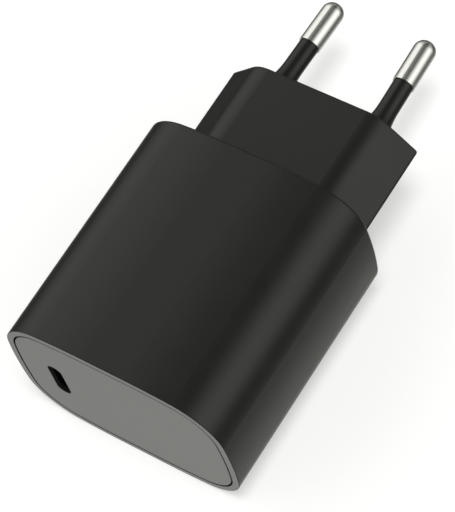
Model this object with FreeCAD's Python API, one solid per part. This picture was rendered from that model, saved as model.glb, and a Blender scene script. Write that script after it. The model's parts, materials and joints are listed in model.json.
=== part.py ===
import FreeCAD, Part
import math
import os

from FreeCAD import Vector

# A mains charger with a two-pin European plug and one upright USB-C socket, lying on a broad side.
# Millimetres. X runs across the width, Y from the port end towards the pins, Z up. The origin is on
# the resting face, under the middle of the whole object. A station is a distance behind the port
# face, and heights are above the resting face.

# Housing
BODY_WIDTH = 41.5
BODY_THICKNESS = 29.5
BODY_LENGTH = 42.8
BODY_FLAT = 8.4
BODY_CROWN_RADIUS = 68.0
BODY_CORNER_RADIUS = 8.8
BODY_SIDE_RADIUS = 67.0
BODY_END_ROUND = 0.5
WALL = 2.0
END_WALL = 2.0

# Plug neck: an elongated hexagon with its ridges at middle height
NECK_WIDTH = 36.0
NECK_THICKNESS = 13.2
NECK_FLAT = 23.0
NECK_LENGTH = 18.6
NECK_CORNER_RADIUS = 5.0
NECK_RIDGE_RADIUS = 0.6
NECK_END_ROUND = 0.4
NECK_FACE_WALL = 2.0

# Mains pins, which lean towards each other. Depths are measured inwards from the plug face.
PIN_DIAMETER = 4.0
PIN_LENGTH = 19.0
PIN_TIP_ROUND = 1.9
PIN_ROOT_SPACING = 18.8
PIN_TIP_SPACING = 17.8
PIN_CORE_DIAMETER = 2.9
PIN_COLLAR_DIAMETER = 5.0
PIN_COLLAR_DEPTH = 3.6
PIN_COLLAR_LENGTH = 1.4
PIN_TAIL_DIAMETER = 2.4
PIN_TAIL_DEPTH = 9.5
SLEEVE_DIAMETER = 3.55
SLEEVE_LENGTH = 10.0
SLEEVE_FLARE = 0.8
SLEEVE_FLARE_LENGTH = 5.0
CARRIER_LENGTH = 4.7
STRIP_WIDTH = 3.0
STRIP_THICKNESS = 0.4
STRIP_OVERLAP = 2.4

# Port end: the frame round the face, the panel set in it, and the socket opening
RIM_WIDTH = 1.2
RIM_EDGE = 0.1
RIM_ROUND = 0.08
LAP_INSET = 0.6
LAP_END = 1.5
SKIRT_END = 6.0
SKIRT_WALL = 1.2
PANEL_FLANGE = 0.75
PANEL_THICKNESS = 2.5
PANEL_SEAM = 0.3
PANEL_ROUND = 0.1
PORT_X = -12.3
PORT_LENGTH = 8.6
PORT_WIDTH = 2.6
PORT_LIP = 0.7
POCKET_LENGTH = 9.1
POCKET_WIDTH = 3.3
GUIDE_SIZE = (0.9, 2.5, 5.6)
GUIDE_STATION = 4.25

# USB-C receptacle
SHELL_LENGTH = 8.94
SHELL_WIDTH = 3.14
SHELL_WALL = 0.3
SHELL_START = 0.9
SHELL_END = 8.6
SHELL_LEG_STATIONS = (4.6, 7.4)
SHELL_LEG_WIDTH = 1.0
SHELL_LEG_THICKNESS = 0.3
SHELL_LEG_INSET = 0.9
TONGUE_THICKNESS = 0.7
TONGUE_WIDTH = 6.7
TONGUE_START = 1.9
TONGUE_END = 5.6
TONGUE_CHAMFER = 0.15
CONTACTS_PER_SIDE = 12
CONTACT_PITCH = 0.5
CONTACT_WIDTH = 0.25
CONTACT_THICKNESS = 0.08
CONTACT_SETBACK = 0.4

# Circuit boards
MAIN_BOARD_BOTTOM = 4.4
MAIN_BOARD_THICKNESS = 1.2
MAIN_BOARD_WIDTH = 32.0
MAIN_BOARD_START = 6.4
MAIN_BOARD_END = 40.4
PORT_BOARD_THICKNESS = 1.0
PORT_BOARD_START = 3.3
PORT_BOARD_END = 20.0
PORT_BOARD_TOP = 24.4
PORT_BOARD_TAB_STATIONS = (10.5, 17.0)
PORT_BOARD_TAB_LENGTH = 3.0
RAIL_X = 15.2
RAIL_WIDTH = 1.0
RAIL_FOOT = 2.2
RAIL_SETBACK = 2.0

# Board components: places are x and station, sizes are x, y, z, pitches are between leads
LEAD_DIAMETER = 0.6
LEAD_HOLE_DIAMETER = 0.9
LEAD_END = 3.8
BULK_PLACES = {"left": (-4.2, 34.2), "right": (5.4, 34.2)}
BULK_DIAMETER = 9.0
BULK_HEIGHT = 17.0
BULK_PITCH = 3.5
OUTPUT_PLACES = {"left": (-5.6, 10.1), "right": (1.4, 10.1)}
OUTPUT_DIAMETER = 6.3
OUTPUT_HEIGHT = 9.5
OUTPUT_PITCH = 2.5
CAN_ROUND = 0.5
CAN_GROOVE_HEIGHT = 1.8
CAN_GROOVE_RADIUS = 0.4
X_CAPACITOR_PLACE = (-12.9, 34.6)
X_CAPACITOR_SIZE = (5.0, 9.4, 9.0)
X_CAPACITOR_PITCH = 7.5
FUSE_PLACE = (13.1, 35.2)
FUSE_SIZE = (4.0, 8.2, 7.6)
FUSE_PITCH = 5.08
CASE_ROUND = 0.4
VARISTOR_PLACE = (13.1, 27.2)
VARISTOR_PITCH = 5.0
VARISTOR_THICKNESS = 3.4
VARISTOR_LIFT = 0.5
Y_CAPACITOR_PLACE = (13.1, 18.3)
Y_CAPACITOR_PITCH = 10.0
Y_CAPACITOR_THICKNESS = 3.2
Y_CAPACITOR_HEIGHT = 14.4
DISC_DIAMETER = 7.0
CHIP_LIFT = 0.1
CHIP_LEAD_WIDTH = 0.4
CHIP_LEAD_THICKNESS = 0.2
OPTOCOUPLER_SIZE = (4.6, 6.4, 3.2)
OPTOCOUPLER_SPAN = 9.0
BRIDGE_PLACE = (0.6, 34.2)
BRIDGE_SIZE = (4.6, 3.9, 1.3)
BRIDGE_SPAN = 6.4
CONTROLLER_PLACE = (0.0, 21.9)
CONTROLLER_SIZE = (5.0, 4.0, 1.3)
CONTROLLER_SPAN = 6.0
RECTIFIER_PLACE = (9.6, 10.0)
RECTIFIER_SIZE = (5.0, 5.2, 1.0)
RECTIFIER_SPAN = 6.2
PORT_CONTROLLER_SIZE = (0.8, 4.0, 4.0)
PORT_CONTROLLER_STATION = 14.0
PORT_CONTROLLER_BOTTOM = 13.0
PORT_CONTROLLER_ROUND = 0.1
SMALL_CHIP_SIZE = (1.2, 2.0, 0.6)
SMALL_CHIP_ROWS = {12.6: (5.2, 8.6), 16.8: (5.2, 8.6), 27.0: (5.2, 8.6), 38.7: (2.2, 5.6)}

# Transformer: two E-shaped core halves on a vertical post, with a bobbin between them
TRANSFORMER_PLACE = (0.0, 21.9)
CORE_WIDTH = 18.4
CORE_DEPTH = 11.0
CORE_BOTTOM = 6.4
CORE_HEIGHT = 18.0
CORE_PLATE = 3.2
CORE_LEG = 2.7
CORE_POST_DIAMETER = 7.0
BOBBIN_BORE = 7.2
BOBBIN_TUBE = 8.8
BOBBIN_FLANGE = 0.8
BOBBIN_RAIL_DEPTH = 2.0
BOBBIN_RAIL_BOTTOM = 5.9
TRANSFORMER_PIN_DIAMETER = 0.7
TRANSFORMER_PIN_TOP = 8.4
TRANSFORMER_PIN_PITCH = 3.2
TRANSFORMER_PINS_PER_ROW = 4
TRANSFORMER_ROW_SPACING = 13.4
PRIMARY_DIAMETER = 10.8
SECONDARY_DIAMETER = 12.0
TAPE_DIAMETER = 12.6

# Common-mode choke: a ring on its edge with two windings
CHOKE_PLACE = (-12.9, 24.7)
CHOKE_OUTER = 8.0
CHOKE_INNER = 4.6
CHOKE_THICKNESS = 3.4
CHOKE_WINDING_BUILD = 0.6
CHOKE_PARTING = 2.2

# Linings: inset from the outside of the housing, thickness, lowest edge, first and last station
SPREADER = (2.3, 0.5, 8.0, 7.0, 39.0)
FILM = (2.9, 0.2, 6.2, 6.6, 40.0)
BARRIER_STATION = 13.7
BARRIER_THICKNESS = 0.4
BARRIER_TOP = 24.0

GAP = 0.05

# Worked out from the sizes above
OVERALL_LENGTH = BODY_LENGTH + NECK_LENGTH + PIN_LENGTH
PORT_FACE_Y = -OVERALL_LENGTH / 2
MIDDLE = BODY_THICKNESS / 2
RIM_DEPTH = RIM_EDGE + LAP_INSET
NECK_END = BODY_LENGTH + NECK_LENGTH
PIN_LEAN = math.atan2((PIN_ROOT_SPACING - PIN_TIP_SPACING) / 2, PIN_LENGTH)
BOARD_TOP = MAIN_BOARD_BOTTOM + MAIN_BOARD_THICKNESS
SHELL_SIDE = PORT_X - SHELL_WIDTH / 2
PORT_BOARD_X = SHELL_SIDE - GAP - PORT_BOARD_THICKNESS / 2
STRIP_X = PIN_ROOT_SPACING / 2 + PIN_TAIL_DEPTH * math.tan(PIN_LEAN)
STRIP_START = BODY_LENGTH - END_WALL - 5 * GAP - STRIP_THICKNESS
WINDOW_BOTTOM = CORE_BOTTOM + CORE_PLATE
WINDOW_TOP = CORE_BOTTOM + CORE_HEIGHT - CORE_PLATE
CHOKE_OUTSIDE = CHOKE_OUTER + 2 * CHOKE_WINDING_BUILD

X_AXIS = Vector(1, 0, 0)
Y_AXIS = Vector(0, 1, 0)
Z_AXIS = Vector(0, 0, 1)


def point(x, station, z):
    return Vector(x, PORT_FACE_Y + station, z)


def face_point(x, up):
    """A point of the port face's plane, from its place across and above the middle height."""
    return point(x, 0, MIDDLE + up)


def block(x, station, bottom, size_x, size_y, size_z):
    """A box on its bottom, centred on x and on its station."""
    corner = point(x - size_x / 2, station - size_y / 2, bottom)
    return Part.makeBox(size_x, size_y, size_z, corner)


def post(x, station, bottom, diameter, height):
    return Part.makeCylinder(diameter / 2, height, point(x, station, bottom), Z_AXIS)


def disc(x, station, z, diameter, thickness):
    """A disc that stands on its edge, its axis along X."""
    base = point(x - thickness / 2, station, z)
    return Part.makeCylinder(diameter / 2, thickness, base, X_AXIS)


def join(solids):
    joined = solids[0].multiFuse(solids[1:])
    return joined.removeSplitter()


def edges_in_plane(shape, y):
    """The edges that lie in the plane across the object at one y."""
    near = 1e-3
    return [e for e in shape.Edges if e.BoundBox.YLength < near and abs(e.BoundBox.YMin - y) < near]


def edges_at(shape, station):
    return edges_in_plane(shape, PORT_FACE_Y + station)


def prism(outline, start, end):
    """A wire drawn at station 0, filled and pulled along Y."""
    face = Part.Face(outline)
    face.translate(Y_AXIS * start)
    return face.extrude(Y_AXIS * (end - start))


# ---- outlines, all drawn at station 0 round the middle height ----


def corner_centre(side_centre, crown_centre):
    """The centre, across and up, of the corner arc that touches both the side and the crown."""
    side_reach = BODY_SIDE_RADIUS - BODY_CORNER_RADIUS
    crown_reach = BODY_CROWN_RADIUS - BODY_CORNER_RADIUS
    apart_x = crown_centre[0] - side_centre[0]
    apart_z = crown_centre[1] - side_centre[1]
    apart = math.hypot(apart_x, apart_z)
    along = (side_reach**2 - crown_reach**2 + apart**2) / (2 * apart)
    aside = math.sqrt(side_reach**2 - along**2)
    x = side_centre[0] + (along * apart_x - aside * apart_z) / apart
    z = side_centre[1] + (along * apart_z + aside * apart_x) / apart
    return x, z


def body_outline(inset=0.0):
    """Broad sides flat in the middle and crowned beyond, round corners, and crowned narrow sides."""
    side_centre = (BODY_WIDTH / 2 - BODY_SIDE_RADIUS, 0)
    crown_centre = (BODY_FLAT / 2, BODY_THICKNESS / 2 - BODY_CROWN_RADIUS)
    corner = corner_centre(side_centre, crown_centre)
    low = math.atan2(corner[1], corner[0] - side_centre[0])
    high = math.atan2(corner[1] - crown_centre[1], corner[0] - crown_centre[0])

    def arc(centre, radius, start, end, sign_x, sign_z=1):
        spots = []
        for turn in (start, (start + end) / 2, end):
            x = centre[0] + (radius - inset) * math.cos(turn)
            z = centre[1] + (radius - inset) * math.sin(turn)
            spots.append(face_point(sign_x * x, sign_z * z))
        return Part.Arc(*spots).toShape()

    edges = []
    for sign_x in (1, -1):
        edges.append(arc(side_centre, BODY_SIDE_RADIUS, -low, low, sign_x))
        for sign_z in (1, -1):
            edges.append(arc(corner, BODY_CORNER_RADIUS, low, high, sign_x, sign_z))
            edges.append(arc(crown_centre, BODY_CROWN_RADIUS, high, math.pi / 2, sign_x, sign_z))
    for sign_z in (1, -1):
        up = sign_z * (BODY_THICKNESS / 2 - inset)
        flat_ends = [face_point(sign_x * BODY_FLAT / 2, up) for sign_x in (1, -1)]
        edges.append(Part.makeLine(*flat_ends))
    return Part.Wire(Part.__sortEdges__(edges))


def rounded_polygon(corners):
    """A closed outline from corners in order, each a place across, a place up and a radius."""
    spots = [face_point(x, up) for x, up, _ in corners]
    arcs = []
    for i, (_, _, radius) in enumerate(corners):
        here = spots[i]
        back = (spots[i - 1] - here).normalize()
        ahead = (spots[(i + 1) % len(spots)] - here).normalize()
        half_angle = back.getAngle(ahead) / 2
        reach = radius / math.tan(half_angle)
        bisector = (back + ahead).normalize()
        crown = here + bisector * (radius / math.sin(half_angle) - radius)
        arcs.append((here + back * reach, crown, here + ahead * reach))
    edges = [Part.Arc(*arc).toShape() for arc in arcs]
    edges += [Part.makeLine(arcs[i - 1][2], arcs[i][0]) for i in range(len(arcs))]
    return Part.Wire(Part.__sortEdges__(edges))


def neck_outline(inset=0.0):
    """The plug's elongated hexagon, with its ridges at middle height."""
    flat, ridge, top = NECK_FLAT / 2, NECK_WIDTH / 2, NECK_THICKNESS / 2
    slope = math.hypot(ridge - flat, top)
    lean_x = top / slope
    lean_z = (ridge - flat) / slope
    flat -= inset * (1 - lean_z) / lean_x
    ridge -= inset / lean_x
    top -= inset
    corner = NECK_CORNER_RADIUS - inset
    corners = [
        (flat, top, corner),
        (ridge, 0, NECK_RIDGE_RADIUS),
        (flat, -top, corner),
        (-flat, -top, corner),
        (-ridge, 0, NECK_RIDGE_RADIUS),
        (-flat, top, corner),
    ]
    return rounded_polygon(corners)


def slot_outline(x, length, width):
    """A slot with round ends, its long way upright."""
    radius = width / 2
    reach = length / 2 - radius
    edges = []
    for sign in (1, -1):
        ends = [face_point(x + across, sign * reach) for across in (-radius, radius)]
        crown = face_point(x, sign * length / 2)
        edges.append(Part.Arc(ends[0], crown, ends[1]).toShape())
        side = x + sign * radius
        edges.append(Part.makeLine(face_point(side, -reach), face_point(side, reach)))
    return Part.Wire(Part.__sortEdges__(edges))


# ---- casing ----


def lean_with_pin(shape, side):
    """Moves what is drawn on the Y axis to a pin's place and turns it with the pin."""
    root = point(side * PIN_ROOT_SPACING / 2, NECK_END, MIDDLE)
    shape.translate(root)
    shape.rotate(root, Z_AXIS, side * math.degrees(PIN_LEAN))
    return shape


def rod(diameter, start, end):
    """A rod on the Y axis between two distances from the plug face."""
    return Part.makeCylinder(diameter / 2, end - start, Vector(0, start, 0), Y_AXIS)


def sleeve_hole(side):
    beyond = 1.0
    return lean_with_pin(rod(SLEEVE_DIAMETER + 2 * GAP, -PIN_COLLAR_DEPTH, beyond), side)


def rim_plate():
    """The rim's plate, bevelled behind so that the housing's lip comes up to its outer corner."""
    plate = prism(body_outline(), 0, RIM_DEPTH)
    return plate.makeChamfer(LAP_INSET, edges_at(plate, RIM_DEPTH))


def housing_shell():
    body = prism(body_outline(), RIM_EDGE, BODY_LENGTH)
    body = body.makeFillet(BODY_END_ROUND, edges_at(body, BODY_LENGTH))
    inside_neck = BODY_LENGTH - END_WALL / 2
    neck = prism(neck_outline(), inside_neck, NECK_END)
    neck = neck.makeFillet(NECK_END_ROUND, edges_at(neck, NECK_END))
    hollows = [
        rim_plate(),
        prism(body_outline(LAP_INSET), RIM_DEPTH, LAP_END),
        prism(body_outline(WALL), LAP_END, BODY_LENGTH - END_WALL),
        prism(neck_outline(WALL), BODY_LENGTH - END_WALL, NECK_END - NECK_FACE_WALL),
    ]
    shell = join([body, neck]).cut(join(hollows))
    rail_start = SKIRT_END + RAIL_SETBACK
    rail_length = BODY_LENGTH - END_WALL / 2 - rail_start
    rail_station = rail_start + rail_length / 2
    rails = [
        block(side * RAIL_X, rail_station, RAIL_FOOT, RAIL_WIDTH, rail_length,
              MAIN_BOARD_BOTTOM - RAIL_FOOT)
        for side in (1, -1)
    ]
    shell = join([shell] + rails)
    return shell.cut([sleeve_hole(side) for side in (1, -1)])


def board_guides():
    """Short ribs on the frame's skirt that hold the upright board's front corners."""
    thickness, _, height = GUIDE_SIZE
    offset = (PORT_BOARD_THICKNESS + thickness) / 2 + 2 * GAP
    return [
        block(PORT_BOARD_X + side * offset, GUIDE_STATION, bottom, *GUIDE_SIZE)
        for side in (1, -1)
        for bottom in (WALL, BODY_THICKNESS - WALL - height)
    ]


def end_frame():
    """The rim round the end face, lapped by the housing's lip, and a skirt inside the housing."""
    rim = rim_plate()
    rim = rim.makeFillet(RIM_ROUND, edges_at(rim, 0))
    lap = prism(body_outline(LAP_INSET + GAP), RIM_DEPTH, LAP_END)
    skirt_inset = WALL + 2 * GAP
    skirt = prism(body_outline(skirt_inset), LAP_END, SKIRT_END)
    bore = prism(body_outline(skirt_inset + SKIRT_WALL), 0, SKIRT_END)
    recess = prism(body_outline(RIM_WIDTH), 0, PANEL_FLANGE + GAP)
    frame = join([rim, lap, skirt]).cut([bore, recess])
    return join([frame] + [guide.common(skirt) for guide in board_guides()])


def front_panel():
    """The plate that closes the end: a flange level with the rim, a pad in the skirt, and the slot."""
    flange = prism(body_outline(RIM_WIDTH + PANEL_SEAM), 0, PANEL_FLANGE)
    pad_inset = WALL + 2 * GAP + SKIRT_WALL + GAP
    pad = prism(body_outline(pad_inset), PANEL_FLANGE, PANEL_THICKNESS)
    slot = prism(slot_outline(PORT_X, PORT_LENGTH, PORT_WIDTH), 0, PORT_LIP)
    pocket = prism(slot_outline(PORT_X, POCKET_LENGTH, POCKET_WIDTH), PORT_LIP, PANEL_THICKNESS)
    panel = join([flange, pad]).cut([slot, pocket])
    return panel.makeFillet(PANEL_ROUND, edges_at(panel, 0))


# ---- plug ----


def pin(side):
    """One solid: rounded tip, core in the sleeve, collar in the carrier, and tail."""
    tip = rod(PIN_DIAMETER, SLEEVE_LENGTH, PIN_LENGTH)
    tip = tip.makeFillet(PIN_TIP_ROUND, edges_in_plane(tip, PIN_LENGTH))
    collar_back = PIN_COLLAR_DEPTH + PIN_COLLAR_LENGTH
    core = rod(PIN_CORE_DIAMETER, -PIN_COLLAR_DEPTH, SLEEVE_LENGTH)
    collar = rod(PIN_COLLAR_DIAMETER, -collar_back, -PIN_COLLAR_DEPTH)
    tail = rod(PIN_TAIL_DIAMETER, -PIN_TAIL_DEPTH, -collar_back)
    return lean_with_pin(join([tip, core, collar, tail]), side)


def root_flare():
    """The cove that widens a sleeve towards the plug face, tangent to the sleeve at its end."""
    radius = SLEEVE_DIAMETER / 2
    bore = PIN_CORE_DIAMETER / 2 + GAP
    cove = (SLEEVE_FLARE**2 + SLEEVE_FLARE_LENGTH**2) / (2 * SLEEVE_FLARE)
    half_turn = math.asin(SLEEVE_FLARE_LENGTH / cove) / 2
    start = 2 * GAP
    end = start + SLEEVE_FLARE_LENGTH
    middle = Vector(radius + cove * (1 - math.cos(half_turn)), end - cove * math.sin(half_turn), 0)
    foot = Vector(radius + SLEEVE_FLARE, start, 0)
    top = Vector(radius, end, 0)
    inner_top, inner_foot = Vector(bore, end, 0), Vector(bore, start, 0)
    lines = [(top, inner_top), (inner_top, inner_foot), (inner_foot, foot)]
    edges = [Part.Arc(foot, middle, top).toShape()] + [Part.makeLine(*ends) for ends in lines]
    return Part.Face(Part.Wire(edges)).revolve(Vector(), Y_AXIS, 360)


def pin_sleeve(side):
    outside = rod(SLEEVE_DIAMETER, GAP - PIN_COLLAR_DEPTH, SLEEVE_LENGTH - GAP)
    bore = rod(PIN_CORE_DIAMETER + 2 * GAP, -PIN_COLLAR_DEPTH, SLEEVE_LENGTH)
    return lean_with_pin(join([outside, root_flare()]).cut(bore), side)


def pin_carrier():
    """The block in the neck that grips both pins by their collars."""
    end = NECK_END - NECK_FACE_WALL - GAP
    carrier = prism(neck_outline(WALL + 2 * GAP), end - CARRIER_LENGTH, end)
    collar_back = PIN_COLLAR_DEPTH + PIN_COLLAR_LENGTH
    pockets = []
    for side in (1, -1):
        collar = rod(PIN_COLLAR_DIAMETER + 2 * GAP, -collar_back - GAP, GAP - PIN_COLLAR_DEPTH)
        tail = rod(PIN_TAIL_DIAMETER + 2 * GAP, -PIN_TAIL_DEPTH, -PIN_COLLAR_DEPTH)
        pockets += [sleeve_hole(side), lean_with_pin(collar, side), lean_with_pin(tail, side)]
    return carrier.cut(pockets)


def contact_strip(side):
    """An angled brass strip: under the pin's tail, then down into a notch in the board."""
    top = MIDDLE - PIN_TAIL_DIAMETER / 2 - GAP
    end = NECK_END - PIN_TAIL_DEPTH + STRIP_OVERLAP
    x = side * STRIP_X
    station = (STRIP_START + end) / 2
    along = block(x, station, top - STRIP_THICKNESS, STRIP_WIDTH, end - STRIP_START, STRIP_THICKNESS)
    foot_station = STRIP_START + STRIP_THICKNESS / 2
    down = block(x, foot_station, LEAD_END, STRIP_WIDTH, STRIP_THICKNESS, top - LEAD_END)
    return join([along, down])


# ---- USB-C receptacle ----


def shell_legs(grow=0.0):
    """Four legs that pass sideways through the upright board."""
    reach = PORT_BOARD_THICKNESS + SHELL_WALL
    x = SHELL_SIDE + SHELL_WALL / 2 - reach / 2
    spread = SHELL_LENGTH / 2 - SHELL_LEG_INSET
    width = SHELL_LEG_WIDTH + 2 * grow
    thickness = SHELL_LEG_THICKNESS + 2 * grow
    return [
        block(x, station, MIDDLE + side * spread - thickness / 2, reach, width, thickness)
        for station in SHELL_LEG_STATIONS
        for side in (1, -1)
    ]


def usb_c_shell():
    outside = prism(slot_outline(PORT_X, SHELL_LENGTH, SHELL_WIDTH), SHELL_START, SHELL_END)
    bore_outline = slot_outline(PORT_X, SHELL_LENGTH - 2 * SHELL_WALL, SHELL_WIDTH - 2 * SHELL_WALL)
    bore = prism(bore_outline, SHELL_START, SHELL_END)
    return join([outside] + shell_legs()).cut(bore)


def usb_c_insulator():
    """The base that fills the back of the shell, and the tongue that stands out of it."""
    inset = 2 * SHELL_WALL + 2 * GAP
    base_outline = slot_outline(PORT_X, SHELL_LENGTH - inset, SHELL_WIDTH - inset)
    base = prism(base_outline, TONGUE_END, SHELL_END)
    length = (TONGUE_END + SHELL_END) / 2 - TONGUE_START
    station = TONGUE_START + length / 2
    bottom = MIDDLE - TONGUE_WIDTH / 2
    tongue = block(PORT_X, station, bottom, TONGUE_THICKNESS, length, TONGUE_WIDTH)
    tongue = tongue.makeChamfer(TONGUE_CHAMFER, edges_at(tongue, TONGUE_START))
    return join([base, tongue])


def usb_c_contacts():
    """A row of blades on each face of the tongue."""
    length = TONGUE_END - TONGUE_START - CONTACT_SETBACK
    station = TONGUE_END - length / 2
    offset = (TONGUE_THICKNESS + CONTACT_THICKNESS) / 2
    lowest = MIDDLE - CONTACT_PITCH * (CONTACTS_PER_SIDE - 1) / 2 - CONTACT_WIDTH / 2
    return [
        block(PORT_X + side * offset, station, lowest + i * CONTACT_PITCH, CONTACT_THICKNESS, length,
              CONTACT_WIDTH)
        for side in (1, -1)
        for i in range(CONTACTS_PER_SIDE)
    ]


# ---- leads and boards ----


def leads_along(place, pitch):
    """The places of two leads in line with the charger."""
    x, station = place
    return [(x, station - pitch / 2), (x, station + pitch / 2)]


def leads_across(place, pitch):
    x, station = place
    return [(x - pitch / 2, station), (x + pitch / 2, station)]


def lead_posts(places, top):
    return [post(x, station, LEAD_END, LEAD_DIAMETER, top - LEAD_END) for x, station in places]


def transformer_pin_places():
    x, station = TRANSFORMER_PLACE
    first = x - TRANSFORMER_PIN_PITCH * (TRANSFORMER_PINS_PER_ROW - 1) / 2
    return [
        (first + i * TRANSFORMER_PIN_PITCH, station + side * TRANSFORMER_ROW_SPACING / 2)
        for side in (1, -1)
        for i in range(TRANSFORMER_PINS_PER_ROW)
    ]


def lead_hole_places():
    """Every place where a lead passes through the main board."""
    places = transformer_pin_places()
    for place in BULK_PLACES.values():
        places += leads_across(place, BULK_PITCH)
    for place in OUTPUT_PLACES.values():
        places += leads_across(place, OUTPUT_PITCH)
    places += leads_along(X_CAPACITOR_PLACE, X_CAPACITOR_PITCH)
    places += leads_along(Y_CAPACITOR_PLACE, Y_CAPACITOR_PITCH)
    places += leads_along(VARISTOR_PLACE, VARISTOR_PITCH)
    places += leads_along(FUSE_PLACE, FUSE_PITCH)
    return places


def board_cut(x, station, width, length):
    return block(x, station, MAIN_BOARD_BOTTOM, width, length, MAIN_BOARD_THICKNESS)


def main_board():
    """The power board, with lead holes, slots for the upright board and notches for the strips."""
    length = MAIN_BOARD_END - MAIN_BOARD_START
    board = board_cut(0, MAIN_BOARD_START + length / 2, MAIN_BOARD_WIDTH, length)
    cuts = [
        post(x, station, MAIN_BOARD_BOTTOM, LEAD_HOLE_DIAMETER, MAIN_BOARD_THICKNESS)
        for x, station in lead_hole_places()
    ]
    slot_width = PORT_BOARD_THICKNESS + 2 * GAP
    slot_length = PORT_BOARD_TAB_LENGTH + 2 * GAP
    cuts += [board_cut(PORT_BOARD_X, tab, slot_width, slot_length) for tab in PORT_BOARD_TAB_STATIONS]
    notch = MAIN_BOARD_END - STRIP_START + 2 * GAP
    notch_width = STRIP_WIDTH + 4 * GAP
    notch_station = MAIN_BOARD_END - notch / 2
    cuts += [board_cut(side * STRIP_X, notch_station, notch_width, notch) for side in (1, -1)]
    return board.cut(cuts)


def port_board():
    length = PORT_BOARD_END - PORT_BOARD_START
    station = PORT_BOARD_START + length / 2
    bottom = BOARD_TOP + GAP
    board = block(PORT_BOARD_X, station, bottom, PORT_BOARD_THICKNESS, length, PORT_BOARD_TOP - bottom)
    tab_size = (PORT_BOARD_THICKNESS, PORT_BOARD_TAB_LENGTH, bottom - MAIN_BOARD_BOTTOM)
    tabs = [
        block(PORT_BOARD_X, tab, MAIN_BOARD_BOTTOM, *tab_size) for tab in PORT_BOARD_TAB_STATIONS
    ]
    return join([board] + tabs).cut(shell_legs(GAP))


# ---- board components ----


def can_capacitor(place, diameter, height, pitch):
    """An upright round can with a crimp groove near its base, and two leads."""
    x, station = place
    bottom = BOARD_TOP + 2 * GAP
    can = post(x, station, bottom, diameter, height)
    can = can.makeFillet(CAN_ROUND, can.Edges)
    groove_middle = point(x, station, bottom + CAN_GROOVE_HEIGHT)
    groove_path = diameter / 2 + CAN_GROOVE_RADIUS / 3
    groove = Part.makeTorus(groove_path, CAN_GROOVE_RADIUS, groove_middle, Z_AXIS)
    leads = lead_posts(leads_across(place, pitch), bottom + CAN_ROUND)
    return join([can.cut(groove)] + leads)


def boxed_part(place, size, pitch):
    """An upright moulded box with two leads."""
    x, station = place
    bottom = BOARD_TOP + 2 * GAP
    case = block(x, station, bottom, *size)
    case = case.makeFillet(CASE_ROUND, case.Edges)
    return join([case] + lead_posts(leads_along(place, pitch), bottom + 2 * CASE_ROUND))


def disc_body(place, z, thickness):
    """A disc dipped in epoxy, with well rounded edges."""
    x, station = place
    body = disc(x, station, z, DISC_DIAMETER, thickness)
    rims = [e for e in body.Edges if e.BoundBox.XLength < thickness / 2]
    return body.makeFillet(thickness / 3, rims)


def varistor():
    z = BOARD_TOP + VARISTOR_LIFT + DISC_DIAMETER / 2
    leads = lead_posts(leads_along(VARISTOR_PLACE, VARISTOR_PITCH), z)
    return join([disc_body(VARISTOR_PLACE, z, VARISTOR_THICKNESS)] + leads)


def y_capacitor():
    """A disc held high on two cranked leads that straddle the optocoupler."""
    z = Y_CAPACITOR_HEIGHT
    places = leads_along(Y_CAPACITOR_PLACE, Y_CAPACITOR_PITCH)
    elbows = [point(x, station, z) for x, station in places]
    crank = Part.makeCylinder(LEAD_DIAMETER / 2, Y_CAPACITOR_PITCH, elbows[0], Y_AXIS)
    corners = [Part.makeSphere(LEAD_DIAMETER / 2, elbow) for elbow in elbows]
    body = disc_body(Y_CAPACITOR_PLACE, z, Y_CAPACITOR_THICKNESS)
    return join([body, crank] + corners + lead_posts(places, z))


def leaded_chip(place, size, leads_per_end, span, underneath=False):
    """A flat moulded chip with a row of bent leads at each end along Y."""
    x, station = place
    size_x, size_y, size_z = size
    shoulder_height = CHIP_LIFT + size_z / 2
    shoulder_length = (span - size_y) / 2
    shoulder = (size_y + shoulder_length) / 2
    foot = (span - CHIP_LEAD_THICKNESS) / 2
    pitch = size_x / leads_per_end
    first = x - pitch * (leads_per_end - 1) / 2
    solids = [block(x, station, CHIP_LIFT, *size)]
    for side in (1, -1):
        for i in range(leads_per_end):
            lead_x = first + i * pitch
            solids.append(block(lead_x, station + side * shoulder, shoulder_height, CHIP_LEAD_WIDTH,
                                shoulder_length, CHIP_LEAD_THICKNESS))
            solids.append(block(lead_x, station + side * foot, 0, CHIP_LEAD_WIDTH,
                                CHIP_LEAD_THICKNESS, shoulder_height + CHIP_LEAD_THICKNESS))
    chip = join(solids)
    if underneath:
        chip.rotate(point(x, station, 0), Y_AXIS, 180)
    chip.translate(Z_AXIS * (MAIN_BOARD_BOTTOM if underneath else BOARD_TOP))
    return chip


def port_controller():
    """A flat chip on the outer face of the upright board."""
    x = PORT_BOARD_X - (PORT_BOARD_THICKNESS + PORT_CONTROLLER_SIZE[0]) / 2
    chip = block(x, PORT_CONTROLLER_STATION, PORT_CONTROLLER_BOTTOM, *PORT_CONTROLLER_SIZE)
    return chip.makeFillet(PORT_CONTROLLER_ROUND, chip.Edges)


def chip_components():
    """Small chip resistors and capacitors in rows under the main board."""
    bottom = MAIN_BOARD_BOTTOM - SMALL_CHIP_SIZE[2]
    return [
        block(side * x, station, bottom, *SMALL_CHIP_SIZE)
        for station, row in SMALL_CHIP_ROWS.items()
        for x in row
        for side in (1, -1)
    ]


# ---- transformer ----


def core_half(bottom, plate_bottom):
    """A plate with two legs and a round post, up to the middle of the core."""
    x, station = TRANSFORMER_PLACE
    height = (CORE_HEIGHT - GAP) / 2
    plate = block(x, station, plate_bottom, CORE_WIDTH, CORE_DEPTH, CORE_PLATE)
    centre_post = post(x, station, bottom, CORE_POST_DIAMETER, height)
    leg_x = (CORE_WIDTH - CORE_LEG) / 2
    legs = [
        block(x + side * leg_x, station, bottom, CORE_LEG, CORE_DEPTH, height) for side in (1, -1)
    ]
    return join([plate, centre_post] + legs)


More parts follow.
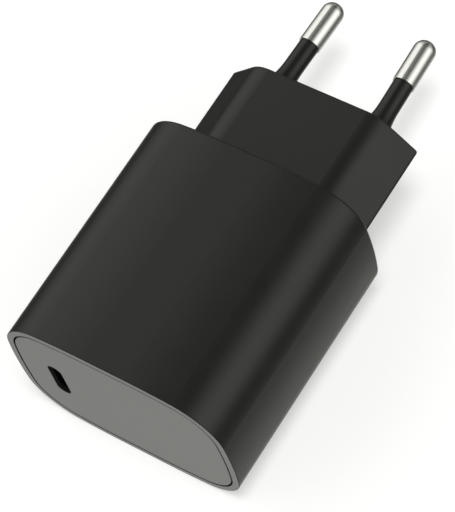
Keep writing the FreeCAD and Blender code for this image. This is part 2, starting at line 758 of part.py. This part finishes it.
def transformer_core_lower():
    return core_half(CORE_BOTTOM, CORE_BOTTOM)


def transformer_core_upper():
    top = CORE_BOTTOM + CORE_HEIGHT
    return core_half(top - (CORE_HEIGHT - GAP) / 2, top - CORE_PLATE)


def transformer_pins(grow=0.0):
    diameter = TRANSFORMER_PIN_DIAMETER + 2 * grow
    height = TRANSFORMER_PIN_TOP - LEAD_END + grow
    return [post(x, station, LEAD_END, diameter, height) for x, station in transformer_pin_places()]


def transformer_bobbin():
    """A flanged tube round the core's post, with a rail of pins on each side of its foot."""
    x, station = TRANSFORMER_PLACE
    bottom = WINDOW_BOTTOM + GAP
    top = WINDOW_TOP - GAP
    width = CORE_WIDTH - 2 * CORE_LEG - 4 * GAP
    foot_length = TRANSFORMER_ROW_SPACING + BOBBIN_RAIL_DEPTH
    rail_height = bottom + BOBBIN_FLANGE - BOBBIN_RAIL_BOTTOM
    tube = post(x, station, bottom, BOBBIN_TUBE, top - bottom)
    foot = block(x, station, bottom, width, foot_length, BOBBIN_FLANGE)
    head = post(x, station, top - BOBBIN_FLANGE, TAPE_DIAMETER, BOBBIN_FLANGE)
    rails = [
        block(x, station + side * TRANSFORMER_ROW_SPACING / 2, BOBBIN_RAIL_BOTTOM, width,
              BOBBIN_RAIL_DEPTH, rail_height)
        for side in (1, -1)
    ]
    bore = post(x, station, bottom, BOBBIN_BORE, top - bottom)
    return join([tube, foot, head] + rails).cut([bore] + transformer_pins(GAP))


def winding(inner, outer):
    """One layer of the bobbin, as a ring."""
    x, station = TRANSFORMER_PLACE
    bottom = WINDOW_BOTTOM + BOBBIN_FLANGE + 2 * GAP
    height = WINDOW_TOP - BOBBIN_FLANGE - 2 * GAP - bottom
    bore = post(x, station, bottom, inner + 2 * GAP, height)
    return post(x, station, bottom, outer, height).cut(bore)


# ---- choke ----


def choke_ring(grow):
    """The choke's ring, thickened by grow on every face."""
    x, station = CHOKE_PLACE
    z = BOARD_TOP + GAP + CHOKE_OUTSIDE / 2
    thickness = CHOKE_THICKNESS + 2 * grow
    bore = disc(x, station, z, CHOKE_INNER - 2 * grow, thickness)
    return disc(x, station, z, CHOKE_OUTER + 2 * grow, thickness).cut(bore)


def choke_windings():
    """Two copper windings round the ring, parted above and below."""
    x, station = CHOKE_PLACE
    size = CHOKE_OUTSIDE + 2 * GAP
    parting = block(x, station, BOARD_TOP, size, CHOKE_PARTING, size)
    return choke_ring(CHOKE_WINDING_BUILD).cut([choke_ring(GAP), parting])


# ---- heat spreading and insulation ----


def lining(inset, thickness, lowest, start, end):
    """A sheet bent to follow the inside of the housing, open below."""
    outside = prism(body_outline(inset), start, end)
    inside = prism(body_outline(inset + thickness), start, end)
    below = block(0, (start + end) / 2, 0, BODY_WIDTH, end - start, lowest)
    return outside.cut([inside, below])


def insulation_barrier():
    """An upright sheet between the output capacitors and the transformer."""
    bottom = BOARD_TOP + GAP
    return block(0, BARRIER_STATION, bottom, CORE_WIDTH, BARRIER_THICKNESS, BARRIER_TOP - bottom)


def thermal_pad():
    """A soft pad that fills the room between the transformer and the lining."""
    x, station = TRANSFORMER_PLACE
    bottom = CORE_BOTTOM + CORE_HEIGHT + GAP
    pad = block(x, station, bottom, CORE_WIDTH, CORE_DEPTH, BODY_THICKNESS - bottom)
    film_inset, film_thickness = FILM[:2]
    room = body_outline(film_inset + film_thickness + GAP)
    start = station - CORE_DEPTH / 2
    return pad.common(prism(room, start, start + CORE_DEPTH))


# ---- everything, by name ----


def casing_nodes():
    return {"housing_shell": housing_shell(), "end_frame": end_frame(), "front_panel": front_panel()}


def plug_nodes():
    nodes = {"pin_carrier": pin_carrier()}
    for name, side in (("left", -1), ("right", 1)):
        nodes[f"{name}_pin"] = pin(side)
        nodes[f"{name}_pin_sleeve"] = pin_sleeve(side)
        nodes[f"{name}_contact_strip"] = contact_strip(side)
    return nodes


def receptacle_nodes():
    return {
        "usb_c_shell": usb_c_shell(),
        "usb_c_insulator": usb_c_insulator(),
        "usb_c_contacts": Part.makeCompound(usb_c_contacts()),
    }


def transformer_nodes():
    return {
        "transformer_core_lower": transformer_core_lower(),
        "transformer_core_upper": transformer_core_upper(),
        "transformer_bobbin": transformer_bobbin(),
        "transformer_pins": Part.makeCompound(transformer_pins()),
        "transformer_primary": winding(BOBBIN_TUBE, PRIMARY_DIAMETER),
        "transformer_secondary": winding(PRIMARY_DIAMETER, SECONDARY_DIAMETER),
        "transformer_tape": winding(SECONDARY_DIAMETER, TAPE_DIAMETER),
    }


def capacitor_nodes():
    nodes = {
        "x_capacitor": boxed_part(X_CAPACITOR_PLACE, X_CAPACITOR_SIZE, X_CAPACITOR_PITCH),
        "y_capacitor": y_capacitor(),
    }
    for side, place in BULK_PLACES.items():
        can = can_capacitor(place, BULK_DIAMETER, BULK_HEIGHT, BULK_PITCH)
        nodes[f"bulk_capacitor_{side}"] = can
    for side, place in OUTPUT_PLACES.items():
        can = can_capacitor(place, OUTPUT_DIAMETER, OUTPUT_HEIGHT, OUTPUT_PITCH)
        nodes[f"output_capacitor_{side}"] = can
    return nodes


def circuit_nodes():
    return {
        "main_board": main_board(),
        "port_board": port_board(),
        "choke_core": choke_ring(0),
        "choke_windings": choke_windings(),
        "varistor": varistor(),
        "fuse": boxed_part(FUSE_PLACE, FUSE_SIZE, FUSE_PITCH),
        "optocoupler": leaded_chip(Y_CAPACITOR_PLACE, OPTOCOUPLER_SIZE, 2, OPTOCOUPLER_SPAN),
        "bridge_rectifier": leaded_chip(BRIDGE_PLACE, BRIDGE_SIZE, 2, BRIDGE_SPAN, underneath=True),
        "primary_controller": leaded_chip(
            CONTROLLER_PLACE, CONTROLLER_SIZE, 4, CONTROLLER_SPAN, underneath=True
        ),
        "sync_rectifier": leaded_chip(RECTIFIER_PLACE, RECTIFIER_SIZE, 4, RECTIFIER_SPAN),
        "port_controller": port_controller(),
        "chip_components": Part.makeCompound(chip_components()),
    }


def lining_nodes():
    return {
        "heat_spreader": lining(*SPREADER),
        "insulating_film": lining(*FILM),
        "insulation_barrier": insulation_barrier(),
        "thermal_pad": thermal_pad(),
    }


os.makedirs("parts", exist_ok=True)
for nodes in (
    casing_nodes(),
    plug_nodes(),
    receptacle_nodes(),
    transformer_nodes(),
    capacitor_nodes(),
    circuit_nodes(),
    lining_nodes(),
):
    for name, shape in nodes.items():
        shape.exportStep(f"parts/{name}.step")
        print(f"{name}: {len(shape.Solids)} solid(s), {shape.Volume:.1f} mm3, valid {shape.isValid()}")
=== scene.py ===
import json
import math

import bpy
from mathutils import Matrix, Vector


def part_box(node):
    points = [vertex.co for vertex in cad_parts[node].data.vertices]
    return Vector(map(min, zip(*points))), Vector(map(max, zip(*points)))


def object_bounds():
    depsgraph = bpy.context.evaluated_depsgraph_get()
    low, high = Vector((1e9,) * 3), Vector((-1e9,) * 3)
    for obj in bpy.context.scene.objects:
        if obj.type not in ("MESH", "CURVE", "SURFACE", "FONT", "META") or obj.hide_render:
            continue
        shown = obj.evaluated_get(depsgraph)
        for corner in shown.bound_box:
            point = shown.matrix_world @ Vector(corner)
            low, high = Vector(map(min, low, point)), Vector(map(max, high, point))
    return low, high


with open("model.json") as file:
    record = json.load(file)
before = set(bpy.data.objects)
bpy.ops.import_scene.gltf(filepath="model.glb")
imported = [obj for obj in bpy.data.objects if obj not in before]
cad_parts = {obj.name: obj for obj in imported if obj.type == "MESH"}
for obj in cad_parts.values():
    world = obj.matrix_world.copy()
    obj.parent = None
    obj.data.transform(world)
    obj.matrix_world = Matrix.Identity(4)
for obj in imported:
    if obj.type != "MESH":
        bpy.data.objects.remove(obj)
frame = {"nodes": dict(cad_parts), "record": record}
CAD_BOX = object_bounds()
MILLIMETRE = 0.001
MICROMETRE = 0.000001

# Camera: where it aims, as metres along +Y from the middle of the charger's box, how many metres
# off it stands, how many degrees it is turned, and its lens in millimetres
CAMERA_AIM_SHIFT = -0.00911
CAMERA_DISTANCE = 0.4142
CAMERA_AZIMUTH = 50.58
CAMERA_ELEVATION = 58.55
CAMERA_ROLL = -21.04
CAMERA_LENS = 181.9

# Studio: brightness all round the charger's long axis, by degrees from straight up towards +X.
# Two long soft boxes stand left and right, with a dark gap overhead and a pale table below.
STUDIO_TINT = (1.0, 1.0, 0.94)
STUDIO_BRIGHTNESS = 1.5
STUDIO_LEVELS = (
    (-180, 0.44),
    (-155, 0.32),
    (-112, 0.02),
    (-57, 0.71),
    (-37, 0.71),
    (-14, 0.11),
    (12, 0.04),
    (60, 0.88),
    (72, 0.78),
    (108, 0.05),
    (146, 0.12),
    (160, 0.37),
)
# Towards +Y, past the pins, the room is dim: the Y parts of the directions between which the light
# falls off, and the share of it that is left
BACK_START = 0.4
BACK_END = 0.85
BACK_LEVEL = 0.3

# The sun: its strength, how many degrees wide it is, and which way it stands
SUN_STRENGTH = 1.6
SUN_SOFTNESS = 20
SUN_DIRECTION = (0.20, -0.10, 1.0)

# The floor: how much it reflects, how much light of its own keeps it near white, and half its
# side in metres
FLOOR_ALBEDO = 0.6
FLOOR_GLOW = 0.455
FLOOR_HALF = 3.0


def shade(colour, factor=1):
    """A colour made darker or lighter, with the fourth channel that nodes ask for."""
    return tuple(channel * factor for channel in colour) + (1,)


# ---- camera, floor and light ----


def add_camera():
    low, high = CAD_BOX
    aim = (low + high) / 2 + Vector((0, CAMERA_AIM_SHIFT, 0))
    turn = (
        Matrix.Rotation(math.radians(CAMERA_AZIMUTH), 4, "Z")
        @ Matrix.Rotation(math.radians(90 - CAMERA_ELEVATION), 4, "X")
        @ Matrix.Rotation(math.radians(CAMERA_ROLL), 4, "Z")
    )
    data = bpy.data.cameras.new("camera")
    data.lens = CAMERA_LENS
    data.sensor_width = 36
    data.clip_start = 0.01
    data.clip_end = 50
    camera = bpy.data.objects.new("camera", data)
    camera.matrix_world = Matrix.Translation(aim + turn.col[2].to_3d() * CAMERA_DISTANCE) @ turn
    bpy.context.scene.collection.objects.link(camera)
    bpy.context.scene.camera = camera


def add_floor():
    mesh = bpy.data.meshes.new("floor")
    half = FLOOR_HALF
    corners = [(-half, -half, 0), (half, -half, 0), (half, half, 0), (-half, half, 0)]
    mesh.from_pydata(corners, [], [(0, 1, 2, 3)])
    floor = bpy.data.objects.new("floor", mesh)
    bpy.context.scene.collection.objects.link(floor)
    floor.visible_glossy = False
    material = bpy.data.materials.new("floor")
    material.use_nodes = True
    shader = material.node_tree.nodes["Principled BSDF"]
    shader.inputs["Base Color"].default_value = (FLOOR_ALBEDO, FLOOR_ALBEDO, FLOOR_ALBEDO, 1)
    shader.inputs["Roughness"].default_value = 1
    shader.inputs["Specular IOR Level"].default_value = 0
    shader.inputs["Emission Color"].default_value = (1, 1, 1, 1)
    shader.inputs["Emission Strength"].default_value = FLOOR_GLOW
    mesh.materials.append(material)


def add_sun():
    """The one lamp: it throws the soft shadow just right of the charger, and isn't reflected."""
    data = bpy.data.lights.new("sun", "SUN")
    data.energy = SUN_STRENGTH
    data.angle = math.radians(SUN_SOFTNESS)
    sun = bpy.data.objects.new("sun", data)
    sun.rotation_euler = Vector(SUN_DIRECTION).to_track_quat("Z", "Y").to_euler()
    sun.visible_glossy = False
    bpy.context.scene.collection.objects.link(sun)


def add_studio():
    world = bpy.data.worlds.new("studio")
    world.use_nodes = True
    nodes, links = world.node_tree.nodes, world.node_tree.links
    direction = nodes.new("ShaderNodeTexCoord")
    split = nodes.new("ShaderNodeSeparateXYZ")
    links.new(direction.outputs["Generated"], split.inputs[0])
    angle = nodes.new("ShaderNodeMath")
    angle.operation = "ARCTAN2"
    links.new(split.outputs["X"], angle.inputs[0])
    links.new(split.outputs["Z"], angle.inputs[1])
    part_turn = nodes.new("ShaderNodeMapRange")
    part_turn.inputs["From Min"].default_value = -math.pi
    part_turn.inputs["From Max"].default_value = math.pi
    links.new(angle.outputs[0], part_turn.inputs["Value"])
    levels = nodes.new("ShaderNodeValToRGB")
    links.new(part_turn.outputs[0], levels.inputs[0])
    ramp = levels.color_ramp
    ramp.interpolation = "EASE"
    ramp.elements[0].color = shade(STUDIO_TINT, STUDIO_LEVELS[0][1])
    ramp.elements[1].color = shade(STUDIO_TINT, STUDIO_LEVELS[0][1])
    for degrees, level in STUDIO_LEVELS[1:]:
        ramp.elements.new(degrees / 360 + 0.5).color = shade(STUDIO_TINT, level)
    dimming = nodes.new("ShaderNodeMapRange")
    dimming.interpolation_type = "SMOOTHSTEP"
    dimming.inputs["From Min"].default_value = BACK_START
    dimming.inputs["From Max"].default_value = BACK_END
    dimming.inputs["To Min"].default_value = STUDIO_BRIGHTNESS
    dimming.inputs["To Max"].default_value = STUDIO_BRIGHTNESS * BACK_LEVEL
    links.new(split.outputs["Y"], dimming.inputs["Value"])
    studio = nodes["Background"]
    links.new(levels.outputs["Color"], studio.inputs["Color"])
    links.new(dimming.outputs["Result"], studio.inputs["Strength"])
    backdrop = nodes.new("ShaderNodeBackground")
    backdrop.inputs["Color"].default_value = (1, 1, 1, 1)
    rays = nodes.new("ShaderNodeLightPath")
    choice = nodes.new("ShaderNodeMixShader")
    links.new(rays.outputs["Is Camera Ray"], choice.inputs[0])
    links.new(studio.outputs[0], choice.inputs[1])
    links.new(backdrop.outputs[0], choice.inputs[2])
    links.new(choice.outputs[0], nodes["World Output"].inputs["Surface"])
    bpy.context.scene.world = world


# ---- materials ----

# The middle of the socket, in the plane of the port face
PORT_LOW, PORT_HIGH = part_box("usb_c_shell")
PORT_PLACE = ((PORT_LOW.x + PORT_HIGH.x) / 2, CAD_BOX[0].y, (PORT_LOW.z + PORT_HIGH.z) / 2)

# Colours: the outside's are chosen for this light, and the inside's are mostly the record's
BLACK = (0.0120, 0.0121, 0.0112)
# Darker than the black plastic it lies on: painted shade in the seams and the socket's slot, over
# walls that are black plastic too
PAINTED_SHADE_BLACK = (0.003, 0.003, 0.003)
PIN_SLEEVE_BLACK = (0.010, 0.010, 0.0095)
SOCKET_BLACK = (0.006, 0.006, 0.006)
SOCKET_STEEL = (0.025, 0.025, 0.027)
# The port face's grey is painted light: it stands in for the light that falls on that face
FACE_LIGHT_GREY = (0.190, 0.190, 0.189)
NICKEL = (0.98, 0.98, 0.97)
CAN_STRIPE = (0.55, 0.56, 0.58)
COLOURS = {row["slot"]: tuple(row["base_color"]) for row in frame["record"]["materials"]}

# The grey on the port face is painted light, for the light that falls on that face: how deep it
# goes behind the port face, over what depth it gives way to near-black painted shade, and how rough
# each is
FRAME_LIGHT_DEPTH = 0.004 * MILLIMETRE
PANEL_LIGHT_DEPTH = 0.005 * MILLIMETRE
LIGHT_FADE = 0.004 * MILLIMETRE
GREY_ROUGHNESS = 0.45
SHADE_ROUGHNESS = 0.9
# On the panel the near-black painted shade is full this near to the middle of the socket, on the
# slot's walls, and in part at the outer edge, where it darkens the seam
SOCKET_REACH = 5.5 * MILLIMETRE
SOCKET_FADE = 0.1 * MILLIMETRE
EDGE_PAINTED_SHADE = 0.5


class Surface:
    """A material, with short calls for the nodes that feed its shader."""

    def __init__(self, name):
        self.material = bpy.data.materials.new(name)
        self.material.use_nodes = True
        self.nodes = self.material.node_tree.nodes
        self.links = self.material.node_tree.links
        self.shader = self.nodes["Principled BSDF"]
        self.normal = None

    def feed(self, socket, value):
        """Gives a socket a value or another node's output."""
        if isinstance(value, bpy.types.NodeSocket):
            self.links.new(value, socket)
        else:
            socket.default_value = value

    def add(self, kind, **inputs):
        """A new node with its inputs fed by name."""
        node = self.nodes.new(kind)
        for name, value in inputs.items():
            self.feed(node.inputs[name.replace("_", " ")], value)
        return node

    def calculate(self, kind, operation, *values):
        """The outputs of a new maths node of a kind, fed with the values in order."""
        node = self.nodes.new(kind)
        node.operation = operation
        for socket, value in zip(node.inputs, values):
            self.feed(socket, value)
        return node.outputs

    def position(self):
        """Where the surface is on the charger, in metres."""
        return self.nodes.new("ShaderNodeTexCoord").outputs["Object"]

    def stretched(self, stretch=(1, 1, 1)):
        """Where the surface is, squeezed along each axis by stretch."""
        node = self.add("ShaderNodeMapping", Vector=self.position(), Scale=stretch)
        return node.outputs["Vector"]

    def offset_from(self, place):
        """How far the surface is from a place along X, Y and Z, as outputs of those names."""
        offset = self.calculate("ShaderNodeVectorMath", "SUBTRACT", self.position(), place)
        return self.add("ShaderNodeSeparateXYZ", Vector=offset["Vector"]).outputs

    def length(self, **parts):
        """The length of the vector with these parts, such as X and Y."""
        vector = self.add("ShaderNodeCombineXYZ", **parts).outputs["Vector"]
        return self.calculate("ShaderNodeVectorMath", "LENGTH", vector)["Value"]

    def noise(self, size, detail, stretch=(1, 1, 1)):
        """Smooth noise from 0 to 1 whose spots are about one size across."""
        where = self.stretched(stretch)
        node = self.add("ShaderNodeTexNoise", Vector=where, Scale=1 / size, Detail=detail)
        return node.outputs["Fac"]

    def between(self, amount, low, high, start=0.3, end=0.7):
        """A number that goes from low to high as amount goes from start to end. Noise seldom leaves
        0.3 to 0.7, so that is where it starts and ends unless told otherwise."""
        limits = {"From_Min": start, "From_Max": end, "To_Min": low, "To_Max": high}
        return self.add("ShaderNodeMapRange", Value=amount, **limits).outputs["Result"]

    def colours(self, amount, low, high):
        """A colour that goes from low to high as amount goes from 0 to 1."""
        node = self.nodes.new("ShaderNodeMix")
        node.data_type = "RGBA"
        self.feed(node.inputs["Factor"], amount)
        self.feed(node.inputs[6], low)
        self.feed(node.inputs[7], high)
        return node.outputs[2]

    def bump(self, height, depth):
        """Raises the surface by up to depth, on top of any bump it has already."""
        node = self.add("ShaderNodeBump", Height=height, Distance=depth)
        if self.normal:
            self.links.new(self.normal, node.inputs["Normal"])
        self.normal = node.outputs["Normal"]
        self.links.new(self.normal, self.shader.inputs["Normal"])

    def set(self, **inputs):
        """Feeds the shader's own inputs by name."""
        for name, value in inputs.items():
            self.feed(self.shader.inputs[name.replace("_", " ")], value)


def moulded(name, colour, roughness, grain=0.25 * MILLIMETRE, depth=2 * MICROMETRE, **settings):
    """Moulded plastic: faint mottling, a fine spark-eroded grain, and uneven gloss."""
    surface = Surface(name)
    mottle = surface.noise(4 * MILLIMETRE, 4)
    fine = surface.noise(grain, 2)
    surface.set(
        Base_Color=surface.colours(mottle, shade(colour, 0.92), shade(colour, 1.08)),
        Roughness=surface.between(mottle, roughness - 0.02, roughness + 0.02),
        **settings,
    )
    surface.bump(fine, depth)
    return surface.material


def painted(name, light_depth, socket_reach=None):
    """Black moulded plastic with grey painted light on its outward face, and near-black painted
    shade behind that face, in the seams and the slot. With a socket reach, the painted shade is
    full only that near to the middle of the socket, and in part farther out."""
    surface = Surface(name)
    mottle = surface.noise(5 * MILLIMETRE, 4)
    fine = surface.noise(0.2 * MILLIMETRE, 2)
    # The grey here is painted light on the port face
    face_light = surface.colours(mottle, shade(FACE_LIGHT_GREY, 0.985), shade(FACE_LIGHT_GREY, 1.015))
    offset = surface.offset_from(PORT_PLACE)
    # Behind the port face the colour turns to near-black painted shade
    bare_and_shade = surface.between(offset["Y"], 0, 1, light_depth, light_depth + LIGHT_FADE)
    if socket_reach:
        distance = surface.length(X=offset["X"], Z=offset["Z"])
        # Half painted shade at the panel's outer edge, darkening the seam
        painted_shade_share = surface.between(distance, 1, EDGE_PAINTED_SHADE, socket_reach, socket_reach + SOCKET_FADE)
        bare_and_shade = surface.calculate("ShaderNodeMath", "MULTIPLY", bare_and_shade, painted_shade_share)["Value"]
    surface.set(
        Base_Color=surface.colours(bare_and_shade, face_light, shade(PAINTED_SHADE_BLACK)),
        Roughness=surface.between(bare_and_shade, GREY_ROUGHNESS, SHADE_ROUGHNESS, 0, 1),
    )
    surface.bump(fine, 2 * MICROMETRE)
    return surface.material


def metal(name, colour, roughness, stretch=(1, 1, 1), scratch=0.15 * MILLIMETRE):
    """Plated or drawn metal, with fine scratches that run along an axis with a small stretch."""
    surface = Surface(name)
    cloud = surface.noise(2 * MILLIMETRE, 3)
    lines = surface.noise(scratch, 3, stretch)
    surface.set(
        Base_Color=surface.colours(cloud, shade(colour, 0.96), shade(colour)),
        Metallic=1,
        Roughness=surface.between(lines, roughness - 0.03, roughness + 0.03),
    )
    surface.bump(lines, 1 * MICROMETRE)
    return surface.material


def wound(name, colour, pitch, roughness=0.25, metallic=0.0):
    """Wire or tape laid side by side: a rounded ridge for every turn, in slightly uneven tones."""
    surface = Surface(name)
    # A wave texture at scale 1 repeats every pi / 10
    turns = surface.add(
        "ShaderNodeTexWave", Vector=surface.stretched(), Scale=math.pi / 10 / pitch
    )
    turns.bands_direction = "Z"
    tone = surface.noise(1.5 * MILLIMETRE, 3)
    surface.set(
        Base_Color=surface.colours(tone, shade(colour, 0.85), shade(colour, 1.1)),
        Metallic=metallic,
        Roughness=surface.between(tone, roughness - 0.04, roughness + 0.06),
    )
    surface.bump(turns.outputs["Fac"], pitch / 3)
    return surface.material


def circuit_board(name, colour):
    """Solder mask over copper tracks, which show as a lighter, slightly raised green."""
    surface = Surface(name)
    cell_size = 2.2 * MILLIMETRE
    track_start, track_end = 0.44, 0.47
    cells = surface.add("ShaderNodeTexVoronoi", Vector=surface.stretched(), Scale=1 / cell_size)
    cells.distance = "MANHATTAN"
    tracks = surface.between(cells.outputs["Distance"], 0, 1, track_start, track_end)
    weave = surface.noise(0.15 * MILLIMETRE, 2)
    surface.set(
        Base_Color=surface.colours(tracks, shade(colour, 0.8), shade(colour, 1.5)),
        Roughness=surface.between(weave, 0.28, 0.36),
    )
    surface.bump(tracks, 30 * MICROMETRE)
    surface.bump(weave, 2 * MICROMETRE)
    return surface.material


def speckled(name, colour, spot, roughness, depth, contrast=0.25, **settings):
    """A body of pressed or filled powder, or of fibres: fine spots of two tones."""
    surface = Surface(name)
    spots = surface.noise(spot, 5)
    broad = surface.noise(12 * spot, 2)
    light = surface.colours(broad, shade(colour), shade(colour, 1 + contrast))
    surface.set(
        Base_Color=surface.colours(spots, shade(colour, 1 - contrast), light),
        Roughness=surface.between(spots, roughness - 0.05, roughness + 0.05),
        **settings,
    )
    surface.bump(spots, depth)
    return surface.material


def sleeved_can(node):
    """A capacitor's shrunk sleeve, with a pale stripe down its negative side, and bare can top."""
    surface = Surface(node)
    low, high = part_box(node)
    offset = surface.offset_from(((low.x + high.x) / 2, (low.y + high.y) / 2, high.z))
    distance = surface.length(X=offset["X"], Y=offset["Y"])
    radius = (high.x - low.x) / 2
    # How far out the bare top ends and, on the negative side, the stripe starts
    edge, fade = 0.80 * radius, 0.02 * radius
    bare_and_shade = surface.between(distance, 1, 0, edge, edge + fade)
    striped = surface.between(offset["Y"], 1, 0, -edge, -edge + fade)
    grime = surface.noise(3 * MILLIMETRE, 3)
    sleeve = surface.colours(striped, shade(COLOURS["can_sleeve"]), shade(CAN_STRIPE))
    surface.set(
        Base_Color=surface.colours(bare_and_shade, sleeve, shade(COLOURS["can_metal"])),
        Metallic=bare_and_shade,
        Roughness=surface.between(grime, 0.22, 0.34),
    )
    surface.bump(grime, 20 * MICROMETRE)
    return surface.material


# The outside's materials, by slot
MATERIALS = {
    "black_plastic": moulded("black_plastic", BLACK, 0.32, Specular_IOR_Level=0.4),
    # The frame's port face is grey painted light, and its edges behind that face are painted shade
    "grey_plastic": painted("grey_plastic", FRAME_LIGHT_DEPTH),
    "sleeve_plastic": moulded("sleeve_plastic", PIN_SLEEVE_BLACK, 0.30, Specular_IOR_Level=0.4),
    "nickel": metal("nickel", NICKEL, 0.28, (1, 0.1, 1)),
    "port_steel": metal("port_steel", SOCKET_STEEL, 0.4),
    "port_plastic": moulded("port_plastic", SOCKET_BLACK, 0.5, Specular_IOR_Level=0.2),
}
# The inside's: slot, kind of surface, and what that kind takes after its name and colour
INSIDE_SLOTS = (
    ("brass_strip", metal, 0.3, (1, 0.15, 1)),
    ("contact_gold", metal, 0.2, (1, 0.2, 1), 0.1 * MILLIMETRE),
    ("board", circuit_board),
    ("ferrite", speckled, 0.12 * MILLIMETRE, 0.6, 6 * MICROMETRE),
    ("moulding", moulded, 0.4, 0.3 * MILLIMETRE, 4 * MICROMETRE),
    ("copper", wound, 0.35 * MILLIMETRE, 0.25, 1.0),
    ("tinned", metal, 0.32, (1, 1, 0.2), 0.1 * MILLIMETRE),
    ("triple_insulated_wire", wound, 0.7 * MILLIMETRE),
    ("winding_tape", wound, 6 * MILLIMETRE, 0.18),
    ("can_metal", metal, 0.3, (1, 1, 0.1)),
    ("film_case", moulded, 0.38, 0.4 * MILLIMETRE, 6 * MICROMETRE),
    ("blue_epoxy", speckled, 0.8 * MILLIMETRE, 0.2, 30 * MICROMETRE, 0.12),
    ("fuse_case", moulded, 0.4, 0.35 * MILLIMETRE, 5 * MICROMETRE),
    ("chip_moulding", speckled, 0.06 * MILLIMETRE, 0.55, 3 * MICROMETRE),
    ("chip_ceramic", speckled, 0.2 * MILLIMETRE, 0.4, 4 * MICROMETRE, 0.4),
    ("spreader_metal", metal, 0.34, (1, 0.05, 1), 0.2 * MILLIMETRE),
    ("barrier_sheet", speckled, 0.3 * MILLIMETRE, 0.6, 5 * MICROMETRE, 0.08),
    ("pad", speckled, 0.15 * MILLIMETRE, 0.75, 8 * MICROMETRE, 0.12),
)
MATERIALS.update({slot: kind(slot, COLOURS[slot], *rest) for slot, kind, *rest in INSIDE_SLOTS})
MATERIALS["film"] = speckled(
    "film", COLOURS["film"], 1.5 * MILLIMETRE, 0.15, 10 * MICROMETRE, 0.15, Coat_Weight=0.3
)

# Nodes whose finish depends on their own place
OWN_MATERIALS = {
    # The panel's port face is grey painted light, and its slot walls and outer edge are painted
    # shade
    "front_panel": painted("grey_panel", PANEL_LIGHT_DEPTH, SOCKET_REACH),
    "bulk_capacitor_left": sleeved_can("bulk_capacitor_left"),
    "bulk_capacitor_right": sleeved_can("bulk_capacitor_right"),
}


def finish_nodes():
    """Gives every CAD node its own material, or else the one of its slot in the record."""
    for part in frame["record"]["subparts"]:
        material = OWN_MATERIALS.get(part["node"]) or MATERIALS[part["material_slot"]]
        node = frame["nodes"][part["node"]]
        node.data.materials.clear()
        node.data.materials.append(material)


add_camera()
add_floor()
add_sun()
add_studio()
finish_nodes()
bpy.context.scene.view_settings.view_transform = "Standard"
